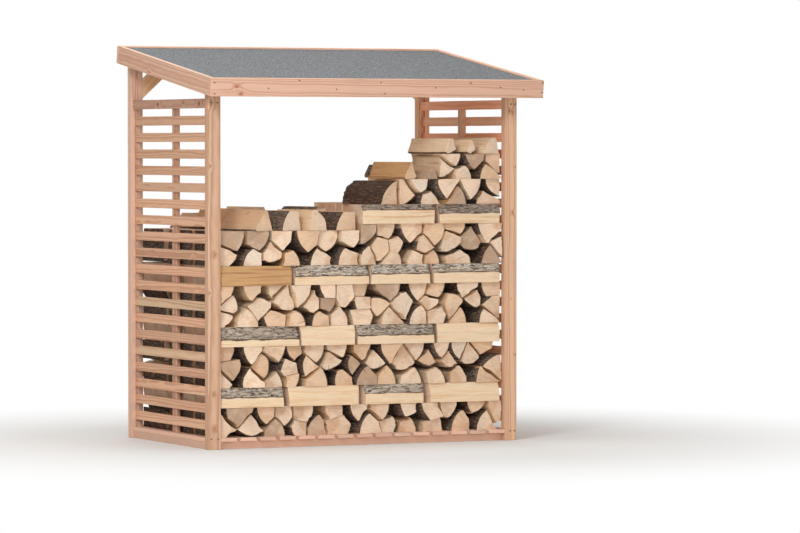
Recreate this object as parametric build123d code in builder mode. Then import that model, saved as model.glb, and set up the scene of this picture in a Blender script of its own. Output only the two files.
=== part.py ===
from build123d import *
from math import cos, hypot, radians, sin, sqrt, tan
from random import Random
import os

# An open log store: four grooved posts, two slatted sides, a floor of boards
# on bearers, and a ready-made roof panel that slopes down to the front. It
# holds a stack of split firewood, laid crossways between the courses.
# Millimetres, +Z up, front towards -Y, the ground at Z = 0.

os.makedirs("parts", exist_ok=True)

# Frame
store_width = 1770.0  # over the posts, left to right
store_depth = 1100.0  # over the posts, front to back
post_width = 70.0  # across the store
post_depth = 45.0  # front to back
groove_width = 14.0
groove_depth = 12.0
groove_end_play = 2.0  # between a slat's end and the bottom of its groove

# Rails between the front and back posts
rail_width = 45.0
rail_height = 48.0
top_rail_drop = 149.0  # underside of the top rail below the eaves

# Slats
slat_height = 48.0
slat_thickness = 13.0
slat_start = 98.0  # underside of the lowest slat
slat_count = 19
slat_head_gap = 39.0  # between the highest slat and the top rail
batten_width = 60.0
batten_thickness = 20.0

# Floor
bearer_height = 40.0
bearer_width = 45.0
floor_thickness = 18.0
floor_board_width = 90.0
floor_board_gap = 20.0  # wished gap; the boards are then spaced evenly
floor_side_play = 1.0  # beside the posts

# Roof panel
roof_pitch = 8.5  # degrees
eaves_height = 1900.0  # top of the front fascia
eaves_overhang = 191.0  # in front of the posts
side_overhang = 64.0
fascia_height = 94.0
fascia_thickness = 24.0
felt_recess = 8.0  # the fascias stand this proud of the felt
felt_thickness = 3.0
deck_thickness = 16.0
deck_board_width = 120.0
deck_gap = 2.0
panel_play = 1.0  # between the deck or felt and the fascias
rafter_width = 45.0
rafter_count = 5

# Knee braces in the back corners
brace_width = 70.0
brace_angle = 42.0  # degrees above level
brace_drop = 181.0  # foot of the brace below the roof panel

# Firewood
log_length = 350.0
row_gap = 7.0  # wished gap between two rows, one behind the other
log_gap = 0.6  # between two logs that lie against each other
end_spread = 38.0  # how unevenly the logs' ends stand
log_width = 134.0  # usual width of a split log
log_thickness = 76.0  # usual height of a split log
stack_inset = 12.0  # behind the front faces of the posts
stack_side_play = 3.0  # beside the posts
low_room = 683.0  # from the low half of the stack up to the roof, at the eaves
high_room = 318.0  # from the heap up to the roof, at the eaves
course_count = 4
first_course = 153.0  # usual height, before the courses share out the room
course_height = 212.0  # the same of the later ones
cross_log_height = 101.0
cross_log_length = 406.0
cross_log_width = 180.0
cross_log_spread = 45.0  # how unevenly the joints between them lie
heap_reach = 825.0  # how far the last crossways layer reaches in
open_drop = 32.0  # how much lower the last course is beside it
heap_start = 590.0  # how far the heap's lowest part reaches in
heap_step = 235.0  # how far the next part of the heap stands back
heap_part = 150.0
heap_retreat = 150.0  # how much less far each row of it reaches, going back
cross_retreat = 80.0  # the same of the crossways layer under it
open_bare = 95.0  # no log on top nearer than this to the left side
loose_share = 0.9  # of the logs' length, for those that lie askew on top
loose_width = 148.0  # beside the heap
heap_log_width = 114.0  # on the heap
loose_turn = 15.0  # degrees
bark_log_width = 128.0  # the big one beside the heap
bark_log_turn = 19.0

# The part's origin is under the middle of its outline, roof included.
overall_depth = eaves_overhang + store_depth
front_edge = -overall_depth / 2
front_face = front_edge + eaves_overhang
back_face = overall_depth / 2
half_width = store_width / 2
inner_half = half_width - post_width
post_middle = half_width - post_width / 2
post_back = front_face + post_depth  # back of the front posts
back_post_front = back_face - post_depth
clear_depth = back_post_front - post_back
floor_level = bearer_height + floor_thickness
top_rail_level = eaves_height - top_rail_drop
slat_room = top_rail_level - slat_head_gap - slat_start
slat_pitch = (slat_room - slat_height) / max(1, slat_count - 1)

# The roof panel is square-edged and lies on the slope, so its own frame has
# X across the store, Y up the slope and Z away from the roof.
slope_sin = sin(radians(roof_pitch))
slope_cos = cos(radians(roof_pitch))
panel_width = store_width + 2 * side_overhang
panel_length = (overall_depth - fascia_height * slope_sin) / slope_cos
roof_plane = Plane(
    origin=(0, front_edge, eaves_height),
    x_dir=(1, 0, 0),
    z_dir=(0, -slope_sin, slope_cos),
)
felt_level = -felt_recess - felt_thickness
deck_level = felt_level - deck_thickness
rafter_height = fascia_height + deck_level
underside = roof_plane.offset(-fascia_height)


def roof_height(y):
    """Height of the panel's underside at a place from front to back."""
    drop = fascia_height / slope_cos
    return eaves_height + (y - front_edge) * tan(radians(roof_pitch)) - drop


def grooved_post(side, y_low, groove_at_back):
    """A post with one groove for the slats and its top cut to the roof."""
    with BuildPart() as post:
        with BuildSketch(Plane.XY):
            with Locations((side * post_middle, y_low + post_depth / 2)):
                Rectangle(post_width, post_depth)
            if groove_at_back:
                groove_y = y_low + post_depth - groove_depth / 2
            else:
                groove_y = y_low + groove_depth / 2
            with Locations((side * post_middle, groove_y)):
                Rectangle(groove_width, groove_depth, mode=Mode.SUBTRACT)
        extrude(amount=eaves_height + overall_depth)
        split(bisect_by=underside, keep=Keep.BOTTOM)
    return post


def side_rail(side, level, height):
    """A rail between the front and back posts, centred on them."""
    with BuildPart() as rail:
        with BuildSketch(Plane.XY.offset(level)):
            with Locations((side * post_middle, (post_back + back_post_front) / 2)):
                Rectangle(rail_width, clear_depth)
        extrude(amount=height)
    return rail


def slat_side(side):
    """All slats of one side, their ends in the grooves of the posts."""
    slat_length = clear_depth + 2 * (groove_depth - groove_end_play)
    middle = slat_start + slat_height / 2 + (slat_count - 1) * slat_pitch / 2
    inner_side = side * post_middle - slat_thickness / 2
    with BuildPart() as slats:
        with BuildSketch(Plane.YZ.offset(inner_side)):
            with Locations(((post_back + back_post_front) / 2, middle)):
                with GridLocations(1, slat_pitch, 1, slat_count):
                    Rectangle(slat_length, slat_height)
        extrude(amount=slat_thickness)
    return slats


def mid_batten(side):
    """The upright batten that the slats are fixed to, on their inner side."""
    batten_x = post_middle - slat_thickness / 2 - batten_thickness / 2
    with BuildPart() as batten:
        with BuildSketch(Plane.XY.offset(floor_level)):
            with Locations((side * batten_x, (post_back + back_post_front) / 2)):
                Rectangle(batten_thickness, batten_width)
        extrude(amount=top_rail_level - floor_level)
    return batten


def knee_brace(side):
    """A brace from the back post's inner face up to the roof panel."""
    foot = roof_height(back_post_front) - brace_drop
    rise = brace_width / cos(radians(brace_angle))
    reach = brace_drop + rise + post_depth
    across = reach / tan(radians(brace_angle))
    with BuildPart() as brace:
        with BuildSketch(Plane.XZ.offset(-back_face)):
            with BuildLine():
                Polyline(
                    (side * inner_half, foot),
                    (side * (inner_half - across), foot + reach),
                    (side * (inner_half - across), foot + reach + rise),
                    (side * inner_half, foot + rise),
                    close=True,
                )
            make_face()
        extrude(amount=post_depth)
        split(bisect_by=underside, keep=Keep.BOTTOM)
    return brace


# Posts
post_front_left = grooved_post(-1, front_face, True)
post_front_right = grooved_post(1, front_face, True)
post_back_left = grooved_post(-1, back_post_front, False)
post_back_right = grooved_post(1, back_post_front, False)

# Sides
top_rail_left = side_rail(-1, top_rail_level, rail_height)
top_rail_right = side_rail(1, top_rail_level, rail_height)
bottom_rail_left = side_rail(-1, 0, bearer_height)
bottom_rail_right = side_rail(1, 0, bearer_height)
slats_left = slat_side(-1)
slats_right = slat_side(1)
mid_batten_left = mid_batten(-1)
mid_batten_right = mid_batten(1)
brace_back_left = knee_brace(-1)
brace_back_right = knee_brace(1)


# Floor
def bearer(y_middle):
    """A bearer on the ground, between the two bottom rails."""
    with BuildPart() as beam:
        with BuildSketch(Plane.XY):
            with Locations((0, y_middle)):
                Rectangle(2 * post_middle - rail_width, bearer_width)
        extrude(amount=bearer_height)
    return beam


bearer_front = bearer(post_back + bearer_width / 2)
bearer_middle = bearer((front_face + back_face) / 2)
bearer_back = bearer(back_post_front - bearer_width / 2)

floor_span = 2 * (inner_half - floor_side_play)
board_step = floor_board_width + floor_board_gap
board_count = round((floor_span - floor_board_width) / board_step) + 1
board_pitch = (floor_span - floor_board_width) / (board_count - 1)
side_board_width = (post_width + rail_width) / 2 - floor_side_play
with BuildPart() as floor_boards:
    with BuildSketch(Plane.XY.offset(bearer_height)):
        with Locations((0, (front_face + back_face) / 2)):
            with GridLocations(board_pitch, 1, board_count, 1):
                Rectangle(floor_board_width, store_depth)
        with Locations((0, (post_back + back_post_front) / 2)):
            with GridLocations(2 * inner_half + side_board_width + 2, 1, 2, 1):
                Rectangle(side_board_width, clear_depth)
    extrude(amount=floor_thickness)


# Roof panel
def fascia_across(y_start):
    """A fascia over the whole width, over the ends of the side fascias."""
    with BuildPart() as board:
        with BuildSketch(underside):
            with Locations((0, y_start + fascia_thickness / 2)):
                Rectangle(panel_width, fascia_thickness)
        extrude(amount=fascia_height)
    return board


def fascia_side(side):
    """A fascia along the slope, between the front and back fascias."""
    with BuildPart() as board:
        with BuildSketch(underside):
            with Locations(
                (side * (panel_width - fascia_thickness) / 2, panel_length / 2)
            ):
                Rectangle(fascia_thickness, panel_length - 2 * fascia_thickness)
        extrude(amount=fascia_height)
    return board


fascia_front = fascia_across(0)
fascia_back = fascia_across(panel_length - fascia_thickness)
fascia_left = fascia_side(-1)
fascia_right = fascia_side(1)

inside_width = panel_width - 2 * fascia_thickness
inside_length = panel_length - 2 * fascia_thickness
with BuildPart() as rafters:
    with BuildSketch(underside):
        with Locations((0, panel_length / 2)):
            rafter_pitch = 2 * post_middle / (rafter_count - 1)
            with GridLocations(rafter_pitch, 1, rafter_count, 1):
                Rectangle(rafter_width, inside_length)
    extrude(amount=rafter_height)

deck_span = inside_length - 2 * panel_play
deck_count = round((deck_span + deck_gap) / (deck_board_width + deck_gap))
deck_pitch = (deck_span + deck_gap) / deck_count
with BuildPart() as roof_boards:
    with BuildSketch(roof_plane.offset(deck_level)):
        with Locations((0, panel_length / 2)):
            with GridLocations(1, deck_pitch, 1, deck_count):
                Rectangle(inside_width - 2 * panel_play, deck_pitch - deck_gap)
    extrude(amount=deck_thickness)

with BuildPart() as roof_felt:
    with BuildSketch(roof_plane.offset(felt_level)):
        with Locations((0, panel_length / 2)):
            Rectangle(inside_width - 2 * panel_play, deck_span)
    extrude(amount=felt_thickness)


# Firewood. A course is an upright block, shared out among its logs. Each log
# is what its cell leaves of a round stem, so it has flat split faces and one
# or more strips of bark.
def cut_outline(outline, point, normal):
    """Cuts a convex outline at a line, on the side that the normal names."""
    kept = []
    for start, end in zip(outline, outline[1:] + outline[:1]):
        ahead = (start[0] - point[0]) * normal[0] + (start[1] - point[1]) * normal[1]
        behind = (end[0] - point[0]) * normal[0] + (end[1] - point[1]) * normal[1]
        if ahead <= 0:
            kept.append(start)
        if ahead * behind < 0:
            kept.append(point_between(start, end, ahead / (ahead - behind)))
    return kept


def point_between(start, end, share):
    """The point that lies this share of the way from start to end."""
    return (
        start[0] + share * (end[0] - start[0]),
        start[1] + share * (end[1] - start[1]),
    )


def distance(start, end):
    """Distance between two points of an outline."""
    return hypot(end[0] - start[0], end[1] - start[1])


def shared_cells(low, high, columns, layers, dice):
    """Shares a rectangle out among jittered middles, one cell each."""
    step = ((high[0] - low[0]) / columns, (high[1] - low[1]) / layers)
    block = [low, (high[0], low[1]), high, (low[0], high[1])]
    middles = []
    for layer in range(layers):
        shift = 0.25 if layer % 2 else -0.25
        for column in range(columns):
            across = column + 0.5 + shift * (layers > 1) + dice.uniform(-0.27, 0.27)
            up = layer + 0.5 + dice.uniform(-0.3, 0.3) * (layers > 1)
            middles.append((low[0] + across * step[0], low[1] + up * step[1]))
    cells = []
    for middle in middles:
        cell = block
        for other in middles:
            span = distance(middle, other)
            if 0 < span < 4 * max(step):
                normal = ((other[0] - middle[0]) / span, (other[1] - middle[1]) / span)
                edge = point_between(middle, other, 0.5 - log_gap / 2 / span)
                cell = cut_outline(cell, edge, normal)
        before = [cell[-1]] + cell[:-1]
        cells.append([b for a, b in zip(before, cell) if distance(a, b) > smallest_face])
    return cells


def stem_outline(cell, heart, radius):
    """Draws what a round stem about a heart corner leaves of a cell."""
    first = cell.index(heart)
    corners = cell[first:] + cell[:first]
    split_face = [heart]
    for start, end in zip(corners, corners[1:] + corners[:1]):
        span = distance(start, end)
        along = (
            (heart[0] - start[0]) * (end[0] - start[0])
            + (heart[1] - start[1]) * (end[1] - start[1])
        ) / span**2
        offset = distance(heart, point_between(start, end, along))
        if offset >= radius:
            continue
        half = sqrt(radius**2 - offset**2) / span
        enter = max(0, along - half)
        leave = min(1, along + half)
        if (leave - enter) * span < smallest_face:
            continue
        inner = point_between(start, end, enter)
        if distance(split_face[-1], inner) > smallest_face:
            bark_arc(split_face[-1], inner, heart, radius)
            if len(split_face) > 1:
                Polyline(*split_face)
            split_face = [inner]
        split_face.append(end if leave == 1 else point_between(start, end, leave))
    if split_face[-1] != heart:
        split_face.append(heart)
    Polyline(*split_face)


def bark_arc(start, end, heart, radius):
    """The round side of a stem between two points."""
    middle = point_between(start, end, 0.5)
    reach = radius / distance(heart, middle)
    ThreePointArc(start, point_between(heart, middle, reach), end)


def split_log(cell, heart, bark_share, plane, length):
    """A log in its cell, the bark this share of the way to the far corner."""
    radius = bark_share * max(distance(heart, corner) for corner in cell)
    with BuildPart() as log:
        with BuildSketch(plane):
            with BuildLine():
                stem_outline(cell, heart, radius)
            make_face()
        extrude(amount=length)
    return log.part


smallest_face = 1.0
stack_half = inner_half - stack_side_play
stack_front = front_face + stack_inset
stack_depth = store_depth - 2 * stack_inset
log_rows = max(1, int((stack_depth + row_gap) // (log_length + row_gap)))
row_step = (stack_depth - log_length) / max(1, log_rows - 1)


def row_logs(row, low, high, seed):
    """Logs laid front to back in one row of an upright block."""
    dice = Random(seed + row)
    hidden = 0 < row < log_rows - 1
    coarse = 2 if hidden else 1
    columns = max(1, round((high[0] - low[0]) / log_width / coarse))
    layers = max(1, round((high[1] - low[1]) / log_thickness / coarse))
    back = stack_front + row * row_step + log_length
    solids = []
    for cell in shared_cells(low, high, columns, layers, dice):
        tops = [corner for corner in cell if corner[1] > high[1] - smallest_face]
        sides = [corner for corner in cell if abs(corner[0]) > stack_half - 1]
        middle = (sum(x for x, z in cell) / len(cell), sum(z for x, z in cell) / len(cell))
        heart = max(tops or sides or cell, key=lambda corner: distance(corner, middle))
        ahead = dice.uniform(0, end_spread)
        behind = dice.uniform(0, row_gap)
        plane = Plane.XZ.offset(behind - back)
        share = 1.0 if hidden else dice.uniform(0.76, 0.92)
        length = log_length - ahead - behind
        solids.append(split_log(cell, heart, share, plane, length))
    return solids


def course_logs(low, high, seed):
    """Logs laid front to back in all rows of an upright block."""
    solids = []
    for row in range(log_rows):
        solids += row_logs(row, low, high, seed)
    return solids


def cross_layer(level, start_x, retreat, dice):
    """A layer of logs laid crossways, their bark up and to the front."""
    count = max(1, round((stack_half - start_x) / cross_log_length))
    lanes = max(1, round(stack_depth / cross_log_width))
    joints = [start_x]
    for number in range(1, count):
        wobble = dice.uniform(-cross_log_spread, cross_log_spread)
        joints.append(start_x + (stack_half - start_x) * number / count + wobble)
    joints.append(stack_half)
    low = (stack_front, level)
    high = (stack_front + stack_depth, level + cross_log_height)
    solids = []
    for left, right in zip(joints, joints[1:]):
        for cell in shared_cells(low, high, lanes, 1, dice):
            heart = max(cell, key=lambda corner: corner[0] - 2 * corner[1])
            reach = heart[0] - min(corner[0] for corner in cell)
            split_height = cross_log_height * dice.uniform(0.4, 0.75)
            share = hypot(reach, split_height) / hypot(reach, cross_log_height)
            behind = (heart[0] - reach - stack_front) / row_step
            start = left + log_gap / 2 + (retreat * behind if left == start_x else 0)
            end = right - log_gap / 2 - dice.uniform(0, end_spread / 2)
            share = share if behind < 0.1 else 1.0
            solids.append(split_log(cell, heart, share, Plane.YZ.offset(start), end - start))
    return solids


def askew_section(kind, width, height, dice):
    """Corners, heart and radius of a log that rests on a flat side."""
    half = width / 2
    lean = half * dice.uniform(-0.1, 0.45)
    cell = [(-half, 0.0), (half, 0.0), (half, height), (-half, height)]
    if kind == "ridge":
        blunt = half * dice.uniform(0.08, 0.3)
        cell[2] = (lean + blunt, height * dice.uniform(0.86, 1.0))
        cell[3] = (lean - blunt, height)
        return cell, cell[3], 0.94 * distance(cell[3], cell[0])
    if kind == "bark to the left":
        cell[2] = (half * dice.uniform(0.7, 0.95), height)
        return cell, cell[1], 0.98 * width
    cell[3] = (-half * dice.uniform(0.4, 0.8), height)
    return cell, cell[0], 0.98 * width


def askew_log(x, low, row, turn, section):
    """A log turned on the upright, the middle of its front end at this x."""
    cell, heart, radius = section
    across = (cos(radians(turn)), sin(radians(turn)), 0)
    forward = (sin(radians(turn)), -cos(radians(turn)), 0)
    half = cell[1][0]
    y = stack_front + row * row_step + half * sin(radians(turn)) + log_gap
    lie = Plane(origin=(x, y, low + log_gap / 2), x_dir=across, z_dir=forward)
    length = loose_share * log_length
    reach = max(distance(heart, corner) for corner in cell)
    return split_log(cell, heart, radius / reach, lie.offset(-length), length)


def askew_logs(row, left, right, low, usual_width, dice):
    """Logs that lie askew side by side in one row of a flat place."""
    turn = loose_turn * (1.0 if row == 0 else dice.uniform(0.4, 0.9))
    count = max(1, round((right - left - lean) / usual_width))
    pitch = (right - left - lean) / count
    kinds = ["ridge", "ridge", "bark to the left", "bark to the right"]
    solids = []
    for number in range(count):
        width = pitch * cos(radians(loose_turn)) * dice.uniform(0.8, 0.97)
        height = width * dice.uniform(0.62, 0.88)
        x = left + lean + (number + 0.5) * pitch
        section = askew_section(dice.choice(kinds), width, height, dice)
        solids.append(askew_log(x, low, row, turn, section))
    return solids


def gather(solids):
    """One piece of many solids that don't touch."""
    with BuildPart() as piece:
        add(solids)
    return piece


low_top = roof_height(front_face) - low_room
high_top = roof_height(front_face) - high_room
room = low_top - floor_level - (course_count - 1) * cross_log_height
room_share = room / (first_course + (course_count - 1) * course_height)
heap_left = stack_half - heap_reach
firewood = {}

level = floor_level
for number in range(1, course_count + 1):
    top = level + room_share * (first_course if number == 1 else course_height)
    if number < course_count:
        solids = course_logs((-stack_half, level), (stack_half, top), 100 * number)
        cross_start = -stack_half
    else:
        open_top = top - open_drop
        solids = course_logs((-stack_half, level), (heap_left - log_gap, open_top), 900)
        solids += course_logs((heap_left, level), (stack_half, top), 950)
        cross_start = heap_left
    firewood[f"logs_{number}"] = gather(solids)
    retreat = 0.0 if number < course_count else cross_retreat
    layer = cross_layer(top, cross_start, retreat, Random(50 + number))
    firewood[f"cross_logs_{number}"] = gather(layer)
    level = top + cross_log_height

lean = loose_share * log_length * sin(radians(loose_turn))
open_askew = []
for row in range(log_rows):
    span = (-stack_half + open_bare, heap_left - log_gap)
    open_askew += askew_logs(row, *span, open_top, loose_width, Random(731 + row))
firewood["top_logs_askew"] = gather(open_askew)

heap_parts = max(1, round((high_top - level) / heap_part))
heap_rise = (high_top - level) / heap_parts
heap_askew = []
for number in range(heap_parts):
    low = level + number * heap_rise
    solids = []
    for row in range(log_rows):
        reach = heap_start - number * heap_step - row * heap_retreat
        ledge = min(heap_step, reach) if number + 1 < heap_parts else reach
        if reach > heap_log_width:
            left = stack_half - reach
            block = ((left, low), (stack_half, low + heap_rise))
            solids += row_logs(row, *block, 1000 + 10 * number)
            place = (left - lean, left + ledge, low + heap_rise)
            seed = 800 + 10 * number + row
            heap_askew += askew_logs(row, *place, heap_log_width, Random(seed))
    firewood[f"heap_{number + 1}"] = gather(solids)
firewood["heap_logs_askew"] = gather(heap_askew)

turned_half = bark_log_width / 2 * cos(radians(bark_log_turn))
bark_x = stack_half - heap_start - turned_half - log_gap
bark_sizes = (bark_log_width, 0.97 * bark_log_width, Random(5))
section = askew_section("bark to the left", *bark_sizes)
bark_solid = askew_log(bark_x, level, 0, bark_log_turn, section)
firewood["bark_log"] = gather([bark_solid])

pieces = {
    "post_front_left": post_front_left,
    "post_front_right": post_front_right,
    "post_back_left": post_back_left,
    "post_back_right": post_back_right,
    "top_rail_left": top_rail_left,
    "top_rail_right": top_rail_right,
    "bottom_rail_left": bottom_rail_left,
    "bottom_rail_right": bottom_rail_right,
    "slats_left": slats_left,
    "slats_right": slats_right,
    "mid_batten_left": mid_batten_left,
    "mid_batten_right": mid_batten_right,
    "brace_back_left": brace_back_left,
    "brace_back_right": brace_back_right,
    "bearer_front": bearer_front,
    "bearer_middle": bearer_middle,
    "bearer_back": bearer_back,
    "floor_boards": floor_boards,
    "fascia_front": fascia_front,
    "fascia_back": fascia_back,
    "fascia_left": fascia_left,
    "fascia_right": fascia_right,
    "rafters": rafters,
    "roof_boards": roof_boards,
    "roof_felt": roof_felt,
    **firewood,
}
for name, piece in pieces.items():
    piece.part.label = name
    export_step(piece.part, f"parts/{name}.step")
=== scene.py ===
"""Looks of an open timber log store with its stack of split firewood.

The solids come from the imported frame. This file softens the arrises of the
timber, roughens the split logs, adds the screws and nails, and gives every
surface a procedural finish. Metres, +Z up, the open front towards -Y.
"""

import logging
from dataclasses import dataclass, field, replace
from enum import Enum, IntEnum
from math import cos, radians, sin
from random import Random
from typing import Any, Iterable, Union

import bmesh
import bpy
from bmesh.types import BMEdge, BMesh, BMFace, BMVert
from bpy.types import ID, Material, NodeSocket, Object, World
from mathutils import Euler, Matrix, Vector, noise


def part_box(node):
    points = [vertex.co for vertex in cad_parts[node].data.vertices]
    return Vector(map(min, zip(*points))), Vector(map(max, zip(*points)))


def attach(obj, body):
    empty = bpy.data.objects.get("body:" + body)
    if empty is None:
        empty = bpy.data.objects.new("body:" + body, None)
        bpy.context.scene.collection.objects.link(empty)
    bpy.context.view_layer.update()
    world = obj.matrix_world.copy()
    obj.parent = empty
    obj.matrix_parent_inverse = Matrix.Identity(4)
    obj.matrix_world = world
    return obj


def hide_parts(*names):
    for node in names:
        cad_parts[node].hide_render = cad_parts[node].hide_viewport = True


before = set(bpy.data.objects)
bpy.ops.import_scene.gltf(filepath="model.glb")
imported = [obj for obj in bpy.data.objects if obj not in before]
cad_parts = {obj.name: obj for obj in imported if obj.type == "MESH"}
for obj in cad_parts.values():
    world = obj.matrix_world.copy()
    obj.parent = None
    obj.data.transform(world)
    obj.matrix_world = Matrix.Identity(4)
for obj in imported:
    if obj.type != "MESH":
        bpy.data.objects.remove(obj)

log = logging.getLogger("log_store")
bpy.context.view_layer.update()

ROOF_PITCH = radians(8.5)
FASCIA_HEIGHT = 0.094
# How far the foot of a screw or nail head is off the face of the timber
HEAD_OFFSET = 0.0002

# Places of the screw heads, left to right and up, in metres
SCREW_PLACES = (
    (-0.833, 1.777), (-0.868, 1.779), (-0.830, 0.054), (-0.868, 0.055),
    (0.8505, 1.777), (0.875, 1.777), (0.8465, 0.050), (0.8715, 0.050),
)
# Places of the nail heads, along the front fascia and up from its foot
NAIL_PLACES = (
    (-0.928, 0.070), (-0.924, 0.014), (-0.628, 0.043), (-0.458, 0.085), (-0.246, 0.040),
    (0.003, 0.077), (0.030, 0.019), (0.318, 0.051), (0.695, 0.056), (0.831, 0.042),
    (0.941, 0.082), (0.941, 0.030),
)

# How light and how warm a node's wood is, where that isn't left to chance; some of the light
# tones are painted light
TONES_AND_PAINTED_LIGHT = {
    "post_front_left": (0.0, 1.0), "post_front_right": (0.45, 0.2), "post_back_left": (0.3, 0.0),
    "fascia_front": (0.3, 0.4), "fascia_left": (0.4, 0.3), "top_rail_left": (0.0, 0.4),
    # post_back_right: a light tone that is painted light on a post in shade; fascia_back and
    # fascia_right: light tones that are a painted highlight for their sunlit top edges
    "post_back_right": (1.0, 0.8), "fascia_back": (1.0, 0.0), "fascia_right": (1.0, 0.0),
    # slats_right and top_rail_right: light tones that are painted bounce light on the right
    # wall's inner faces
    "slats_right": (0.9, 0.4), "top_rail_right": (1.0, 0.4), "mid_batten_right": (1.0, 0.2),
}

# What sets the logs of some nodes apart, among it the numbers of the logs that have
# lost their bark or turned honey brown, and how grey the bark is, least and most
LOG_SETTINGS: dict[str, dict[str, Any]] = {
    "cross_logs": {
        "slice_length": 0.022, "tone_range": (0.0, 0.5), "age_range": (0.1, 0.85),
        "bare_share": 0.0,
    },
    "cross_logs_1": {"bare_logs": (11, 5, 14, 18), "greyness": (0.6, 0.8)},
    "cross_logs_2": {"bare_logs": (3, 5, 14, 19), "greyness": (0.6, 0.8)},
    "cross_logs_3": {"bare_logs": (10, 12, 19), "honey_logs": (10,), "greyness": (0.8, 1.0)},
    "cross_logs_4": {"bare_logs": (9, 12), "greyness": (0.4, 0.6)},
    "askew": {"slice_length": 0.022},
    "bark_log": {
        "slice_length": 0.022, "edge_length": 0.012, "bark_rough": 0.008,
        "greyness": (0.0, 0.1), "bare_share": 0.0,
    },
}

Colour = tuple[float, float, float]
Range = tuple[float, float]
Input = Union["Wire", float, tuple[float, ...]]


def srgb(red: float, green: float, blue: float) -> Colour:
    """A linear colour from display values.

    Args:
        red: 0 to 255.
        green: 0 to 255.
        blue: 0 to 255.

    Returns:
        The colour's three parts, 0 to 1.
    """
    out = []
    for value in (red, green, blue):
        part = value / 255
        out.append(part / 12.92 if part <= 0.04045 else ((part + 0.055) / 1.055) ** 2.4)
    return (out[0], out[1], out[2])


class Wire:
    """An output socket on which plain arithmetic works."""

    def __init__(self, graph: "Graph", socket: NodeSocket) -> None:
        """Keeps the graph that the socket belongs to."""
        self.graph = graph
        self.socket = socket

    def __add__(self, other: Input) -> "Wire":
        """Sum."""
        return self.graph.math("ADD", self, other)

    __radd__ = __add__

    def __sub__(self, other: Input) -> "Wire":
        """Difference."""
        return self.graph.math("SUBTRACT", self, other)

    def __mul__(self, other: Input) -> "Wire":
        """Product."""
        return self.graph.math("MULTIPLY", self, other)

    __rmul__ = __mul__

    def __truediv__(self, other: Input) -> "Wire":
        """Quotient."""
        return self.graph.math("DIVIDE", self, other)


class Graph:
    """The node graph of one material, or of the world."""

    def __init__(self, name: str, world: World | None = None) -> None:
        """Empties the world's graph, or that of a new material.

        Args:
            name: name of the new material.
            world: the world, where the graph is its own.
        """
        self.material = world or bpy.data.materials.new(name)
        self.material.use_nodes = True
        self.tree = self.material.node_tree
        self.tree.nodes.clear()

    def add(self, kind: str, inputs: dict, output: int | str = 0, **settings: Any) -> Wire:
        """Makes a node, the one place where this file does so.

        Args:
            kind: the node's type, without the word ShaderNode that they all begin with.
            inputs: values or wires by socket name or number.
            output: which output to return.
            settings: properties of the node, set before its inputs.

        Returns:
            The chosen output.
        """
        node = self.tree.nodes.new("ShaderNode" + kind)
        for key, value in settings.items():
            setattr(node, key, value)
        for key, value in inputs.items():
            socket = node.inputs[key]
            if isinstance(value, Wire):
                self.tree.links.new(value.socket, socket)
            elif socket.type == "RGBA":
                socket.default_value = (*value, 1.0)
            else:
                socket.default_value = value
        return Wire(self, node.outputs[output] if node.outputs else None)

    def math(self, operation: str, first: Input, second: Input = 0.5) -> Wire:
        """One operation on numbers."""
        return self.add("Math", {0: first, 1: second}, operation=operation)

    def attribute(self, name: str) -> Wire:
        """A vector kept on the mesh."""
        return self.add("Attribute", {}, "Vector", attribute_name=name)

    def place(self) -> Wire:
        """The place on the object, in metres."""
        return self.add("TexCoord", {}, "Object")

    def split(self, vector: Wire) -> tuple[Wire, Wire, Wire]:
        """Takes a vector apart.

        Args:
            vector: the vector.

        Returns:
            Its three parts.
        """
        first = self.add("SeparateXYZ", {0: vector}, 0)
        outputs = first.socket.node.outputs
        return first, Wire(self, outputs[1]), Wire(self, outputs[2])

    def stretch(self, vector: Wire, x: float, y: float, z: float) -> Wire:
        """The vector with each part multiplied."""
        return self.add("VectorMath", {0: vector, 1: (x, y, z)}, operation="MULTIPLY")

    def join(self, x: Input, y: Input, z: Input) -> Wire:
        """A vector from three numbers."""
        return self.add("CombineXYZ", {0: x, 1: y, 2: z})

    def noise(
        self, vector: Wire, scale: float, detail: float = 2.0, rough: float = 0.5
    ) -> Wire:
        """Smooth random values between 0 and 1."""
        inputs = {"Vector": vector, "Scale": scale, "Detail": detail, "Roughness": rough}
        return self.add("TexNoise", inputs, 0)

    def cells(
        self, vector: Wire, scale: float, output: str = "Distance", **settings: Any
    ) -> Wire:
        """Random cells: the distance to their middles, or their colour."""
        return self.add("TexVoronoi", {"Vector": vector, "Scale": scale}, output, **settings)

    def ramp(
        self, value: Input, low: Input, high: Input, start: float = 0, end: float = 1
    ) -> Wire:
        """A smooth step from start to end as the value goes from low to high."""
        inputs = {0: value, 1: low, 2: high, 3: start, 4: end}
        return self.add("MapRange", inputs, interpolation_type="SMOOTHSTEP")

    def mix(self, factor: Input, first: Input, second: Input) -> Wire:
        """A blend of two colours."""
        return self.add("Mix", {0: factor, 6: first, 7: second}, 2, data_type="RGBA")

    def shade(self, colour: Wire, amount: Wire) -> Wire:
        """The colour multiplied by a number."""
        return self.add("VectorMath", {0: colour, 3: amount}, operation="SCALE")

    def bump(self, height: Wire, strength: float, distance: float) -> Wire:
        """A surface normal from a height, the distance in metres."""
        inputs = {"Strength": strength, "Distance": distance, "Height": height}
        return self.add("Bump", inputs, "Normal")

    def surface(self, colour: Input, rough: Input, normal: Wire, **plain: float) -> Material:
        """Ends the graph in a plain surface.

        Args:
            colour: base colour.
            rough: roughness.
            normal: the bumped normal.
            plain: values for other sockets, with _ for a space.

        Returns:
            The finished material.
        """
        inputs = {"Base Color": colour, "Roughness": rough, "Normal": normal}
        for key, value in plain.items():
            inputs[key.replace("_", " ")] = value
        shader = self.add("BsdfPrincipled", inputs)
        self.add("OutputMaterial", {"Surface": shader})
        return self.material


@dataclass(frozen=True)
class Knot:
    """A knot on a board, measured from the board's middle in metres."""

    along: float
    across: float
    radius: float


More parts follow.
